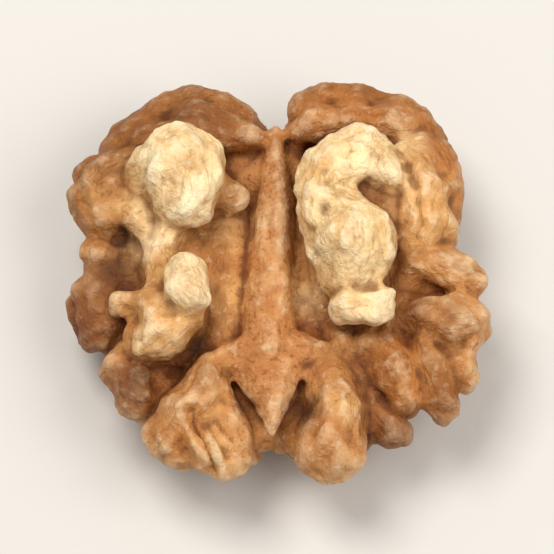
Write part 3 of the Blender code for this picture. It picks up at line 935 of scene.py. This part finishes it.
    # Painted shade in the depths between the lobes, from 1.5 mm down, though not on the papery strip
    sunk_shade = add_node(tree, "MapRange", SMOOTHLY, Value=depth, From_Min=1.5, From_Max=6.0, To_Max=0.5)
    elsewhere = add_node(tree, "Math", {"operation": "SUBTRACT"}, i0=1.0, i1=papery)
    sunk_shade_share = add_node(tree, "Math", TIMES, i0=sunk_shade, i1=elsewhere)
    depth_shaded = add_node(tree, "Mix", OF_COLOURS, i0=sunk_shade_share, i6=fissure_shaded, i7=thick_skin_and_shade)

    # Pale flesh on the crests, more of it on the lighter folds: partly skin scuffed off, partly a
    # painted highlight
    rise = add_node(tree, "Math", TIMES_THEN_PLUS, i0=broad, i1=0.6, i2=blotches)
    stands_out = add_node(tree, "Math", TIMES_THEN_PLUS, i0=fine, i1=0.2, i2=rise)
    rubbed_and_highlight = add_node(
        tree, "MapRange", SMOOTHLY, Value=stands_out, From_Min=0.6, From_Max=1.3, To_Max=0.9
    )
    bare_and_highlight = add_node(tree, "Math", TIMES, i0=rubbed_and_highlight, i1=lightness)
    crest_highlighted = add_node(tree, "Mix", OF_COLOURS, i0=bare_and_highlight, i6=depth_shaded, i7=flesh)

    # Flecks where the skin has flaked off the crests
    flakes = add_node(
        tree, "TexNoise", Vector=where, Scale=per_metre(FLAKE_SPACING), Detail=3.0, Roughness=0.6
    )
    raised = add_node(tree, "Math", TIMES_THEN_PLUS, i0=fine, i1=0.12, i2=flakes)
    flake = add_node(tree, "MapRange", SMOOTHLY, Value=raised, From_Min=0.58, From_Max=0.72, To_Max=0.6)
    flake_share = add_node(tree, "Math", TIMES, i0=flake, i1=lightness)
    flaked = add_node(tree, "Mix", OF_COLOURS, i0=flake_share, i6=crest_highlighted, i7=flesh)
    tree.links.new(output_of(flaked), shader.inputs["Base Color"])

    # The skin's grain and crinkles, scored along the streaks and raised along the veins
    grain = add_node(
        tree, "TexNoise", Vector=where, Scale=per_metre(GRAIN_SPACING), Detail=4.0, Roughness=0.65
    )
    scored = add_node(tree, "Math", TIMES_THEN_PLUS, i0=streak_share, i1=-1.2, i2=grain)
    crinkles = add_node(
        tree, "TexNoise", Vector=where, Scale=per_metre(CRINKLE_SPACING), Detail=5.0,
        Roughness=0.6, Distortion=1.2,
    )
    crinkled = add_node(tree, "Math", TIMES_THEN_PLUS, i0=crinkles, i1=2.0, i2=scored)
    ribbed = add_node(tree, "Math", TIMES_THEN_PLUS, i0=vein_share, i1=0.8, i2=crinkled)
    bump = add_node(tree, "Bump", Strength=0.9, Distance=0.17 * MM, Height=ribbed)
    tree.links.new(output_of(bump), shader.inputs["Normal"])

    # The sheen is uneven, as the blotches are
    gloss = add_node(
        tree, "MapRange", Value=blotches, From_Min=0.3, From_Max=0.7,
        To_Min=skin.roughness - GLOSS_SPREAD, To_Max=skin.roughness + GLOSS_SPREAD,
    )
    tree.links.new(output_of(gloss), shader.inputs["Roughness"])
    shader.inputs["Metallic"].default_value = 0.0
    shader.inputs["IOR"].default_value = 1.45
    shader.inputs["Specular IOR Level"].default_value = 0.3
    shader.inputs["Subsurface Weight"].default_value = 0.22
    shader.inputs["Subsurface Radius"].default_value = (1.0, 0.42, 0.16)
    shader.inputs["Subsurface Scale"].default_value = 0.8 * MM
    return material


def matte_paper(colour):
    """Uncoated white paper, pressed smooth. It gives the eye an even pale ground without shine."""
    material = bpy.data.materials.new("matte_uncoated_paper")
    material.use_nodes = True
    tree = material.node_tree
    shader = tree.nodes["Principled BSDF"]
    where = add_node(tree, "TexCoord").outputs["Object"]
    tooth = add_node(tree, "TexNoise", Vector=where, Scale=per_metre(TOOTH_SPACING), Detail=3.0)
    bump = add_node(tree, "Bump", Strength=0.15, Distance=0.05 * MM, Height=tooth)
    tree.links.new(output_of(bump), shader.inputs["Normal"])
    shader.inputs["Base Color"].default_value = colour
    shader.inputs["Roughness"].default_value = 0.85
    return material


def build_kernel(settings, skin):
    """Grows the folds into one form, wrinkles and colours its skin, and puts it in the node's place."""
    mesh = one_skin(rough_body(), CREASE_SMOOTHING_ROUNDS, settings.form_voxel)
    raise_relief(mesh)
    mesh = one_skin(mesh, RELIEF_SMOOTHING_ROUNDS, settings.skin_voxel)
    tones = {name: np.array(getattr(skin, name)[:3]) for name in TONE_NAMES}
    colours, strands, next_fold = read_folds(mesh, tones)
    papery = np.array([strip_share(vertex.co / MM) for vertex in mesh.vertices])
    veined = (1 - papery) * np.clip(next_fold / MEETING_FADE, 0, 1)
    raise_fine_relief(mesh, strands, veined, settings.wrinkle_share)
    fit_to_frame(mesh, settings)
    opaque = np.ones((len(colours), 1))
    store(mesh, "skin_tone", "FLOAT_COLOR", np.concatenate([colours, opaque], axis=1))
    store(mesh, "strand_place", "FLOAT_VECTOR", strands)
    store(mesh, "papery", "FLOAT", papery)
    store(mesh, "veined", "FLOAT", veined)
    store(mesh, "fissure", "FLOAT", np.clip(1 - next_fold / FISSURE_REACH, 0, 1))
    mark_hollows(mesh)
    mark_depth(mesh)
    mesh.shade_smooth()
    mesh.materials.clear()
    mesh.materials.append(walnut_skin(skin))
    kernel = mesh_object("walnut_half", mesh)
    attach(kernel, "root")
    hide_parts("kernel")
    return kernel


def add_soft_box(name, offset, target, size, power, colour):
    """A square area light at an offset from the place that it shines on."""
    light = bpy.data.lights.new(name, "AREA")
    light.size = size
    light.energy = power
    light.color = colour[:3]
    lamp = bpy.data.objects.new(name, light)
    lamp.location = target + Vector(offset)
    lamp.rotation_euler = (-Vector(offset)).to_track_quat("-Z", "Y").to_euler()
    bpy.context.scene.collection.objects.link(lamp)


def build_stage(stage):
    """The floor, the room's light, two soft boxes and the camera."""
    middle = (KERNEL_LOW + KERNEL_HIGH) / 2
    floor_mesh = bpy.data.meshes.new("floor")
    disc = bmesh.new()
    bmesh.ops.create_circle(disc, cap_ends=True, segments=FLOOR_SIDES, radius=stage.floor_radius)
    disc.to_mesh(floor_mesh)
    disc.free()
    floor_mesh.materials.append(matte_paper(tuple(stage.floor_colour)))
    floor = mesh_object("floor", floor_mesh)

    world = bpy.data.worlds.new("soft_room")
    world.use_nodes = True
    room = world.node_tree.nodes["Background"]
    room.inputs["Color"].default_value = tuple(stage.room_colour)
    room.inputs["Strength"].default_value = stage.room_strength
    bpy.context.scene.world = world
    add_soft_box("key_softbox", KEY_OFFSET, middle, KEY_SIZE, stage.key_power, stage.key_colour)
    add_soft_box("fill_softbox", FILL_OFFSET, middle, FILL_SIZE, stage.fill_power, stage.key_colour)

    # The standard view shows the browns as warm as they are set
    bpy.context.scene.view_settings.view_transform = "Standard"

    data = bpy.data.cameras.new("camera")
    data.lens = stage.lens
    data.clip_start = NEAR_CLIP
    reach = max(KERNEL_SIZE.x, KERNEL_SIZE.y) / stage.frame_share * stage.lens / data.sensor_width
    back = Vector((0, -math.cos(stage.elevation), math.sin(stage.elevation)))
    camera = bpy.data.objects.new("camera", data)
    camera.location = middle + back * reach
    camera.rotation_euler = (-back).to_track_quat("-Z", "Y").to_euler()
    bpy.context.scene.collection.objects.link(camera)
    bpy.context.scene.camera = camera


def size_setting(name, description, default):
    """A length with its default in metres."""
    return FloatProperty(
        name=name, description=description, default=default, min=0.0, precision=5, unit="LENGTH"
    )


def colour_setting(name, description, code):
    """A colour with its default as an sRGB hex value."""
    return FloatVectorProperty(
        name=name, description=description, default=linear_colour(code), size=4, min=0.0, max=1.0,
        subtype="COLOR",
    )


class WalnutKernelSettings(bpy.types.PropertyGroup):
    """Sizes of the kernel"""

    width: size_setting("Width", "Across both lobes", KERNEL_SIZE.x)
    length: size_setting("Length", "From the pointed tip to the notched end", KERNEL_SIZE.y)
    height: size_setting("Height", "From the floor to the top of the lobes", KERNEL_SIZE.z)
    form_voxel: size_setting("Form cell", "Cell that the folds are grown together on", 0.27 * MM)
    skin_voxel: size_setting("Skin cell", "Cell that the finished skin is grown on", 0.23 * MM)
    wrinkle_share: FloatProperty(
        name="Wrinkles", description="Share of the fine wrinkles' full depth", default=1.0,
        min=0.0, max=3.0, subtype="FACTOR",
    )


class WalnutSkinSettings(bpy.types.PropertyGroup):
    """Tones of the skin"""

    ivory: colour_setting("Ivory", "Pale skin, on the raised lobes", "#FCE3B1")
    honey: colour_setting("Honey", "Light skin, on the outer folds", "#DCAA6C")
    tan: colour_setting("Tan", "Plain skin", "#C58D55")
    clay: colour_setting("Clay", "Skin of the middle ridge", "#C58A54")
    amber: colour_setting("Amber", "Orange skin, on the right rim and in patches", "#BC7A3C")
    # Sepia, russet and umber also paint shade on the low and far folds, in the clefts, grooves and
    # furrows, and round the feet
    sepia: colour_setting("Sepia", "Brown skin, on the shoulders and crowns", "#965E2A")
    russet: colour_setting("Russet", "Red-brown skin, on the flanks and in the hollows", "#864E22")
    umber: colour_setting("Umber", "Darkest skin, in furrows and clefts", "#4C2A14")
    # Flesh also paints the highlights on the tops of the lobes
    flesh: colour_setting("Flesh", "Pale flesh where the skin is rubbed off", "#FCEBC6")
    roughness: FloatProperty(
        name="Roughness", description="Mean roughness of the skin", default=0.5,
        min=0.1, max=0.9, subtype="FACTOR",
    )


class WalnutStageSettings(bpy.types.PropertyGroup):
    """Floor, lights and camera"""

    floor_colour: colour_setting("Floor", "Colour of the paper floor", "#D6D5D3")
    floor_radius: size_setting("Floor radius", "Radius of the floor", 0.6)
    room_colour: colour_setting("Room", "Colour of the light all round", "#F2F1EE")
    room_strength: FloatProperty(
        name="Room light", description="Strength of the light all round", default=0.45, min=0.0
    )
    key_colour: colour_setting("Key colour", "Colour of the soft boxes", "#FFF8EF")
    key_power: FloatProperty(
        name="Key", description="Power of the upper left soft box", default=0.84, min=0.0, unit="POWER"
    )
    fill_power: FloatProperty(
        name="Fill", description="Power of the right soft box", default=0.5, min=0.0, unit="POWER"
    )
    elevation: FloatProperty(
        name="Elevation", description="Height of the camera over the horizon", default=math.radians(68),
        subtype="ANGLE",
    )
    lens: FloatProperty(
        name="Lens", description="Focal length in millimetres", default=200.0, min=20.0, unit="CAMERA"
    )
    frame_share: FloatProperty(
        name="Frame share", description="Share of the picture that the kernel spans", default=0.78,
        min=0.1, max=1.0, subtype="FACTOR",
    )


class WALNUT_OT_kernel(bpy.types.Operator):
    """Build the walnut half in its skin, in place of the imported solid"""

    bl_idname = "walnut.kernel"
    bl_label = "Walnut half"

    def execute(self, context):
        build_kernel(context.scene.walnut_kernel, context.scene.walnut_skin)
        return {"FINISHED"}


class WALNUT_OT_stage(bpy.types.Operator):
    """Build the floor, the lights and the camera"""

    bl_idname = "walnut.stage"
    bl_label = "Stage"

    def execute(self, context):
        build_stage(context.scene.walnut_stage)
        return {"FINISHED"}


class VIEW3D_PT_walnut(bpy.types.Panel):
    """Settings and operators of the walnut half"""

    bl_label = "Walnut half"
    bl_space_type = "VIEW_3D"
    bl_region_type = "UI"
    bl_category = "Walnut"

    def draw(self, context):
        scene = context.scene
        parts = (
            (scene.walnut_kernel, "walnut.kernel"),
            (scene.walnut_skin, None),
            (scene.walnut_stage, "walnut.stage"),
        )
        for settings, operator in parts:
            column = self.layout.box().column()
            for name in settings.__annotations__:
                column.prop(settings, name)
            if operator:
                column.operator(operator)


GROUPS = {
    "walnut_kernel": WalnutKernelSettings,
    "walnut_skin": WalnutSkinSettings,
    "walnut_stage": WalnutStageSettings,
}
CLASSES = (*GROUPS.values(), WALNUT_OT_kernel, WALNUT_OT_stage, VIEW3D_PT_walnut)


def register():
    for cls in CLASSES:
        bpy.utils.register_class(cls)
    for name, group in GROUPS.items():
        setattr(bpy.types.Scene, name, PointerProperty(type=group))


def unregister():
    for name in GROUPS:
        delattr(bpy.types.Scene, name)
    for cls in reversed(CLASSES):
        bpy.utils.unregister_class(cls)


def main():
    register()
    bpy.ops.walnut.kernel()
    bpy.ops.walnut.stage()


if __name__ == "__main__":
    main()
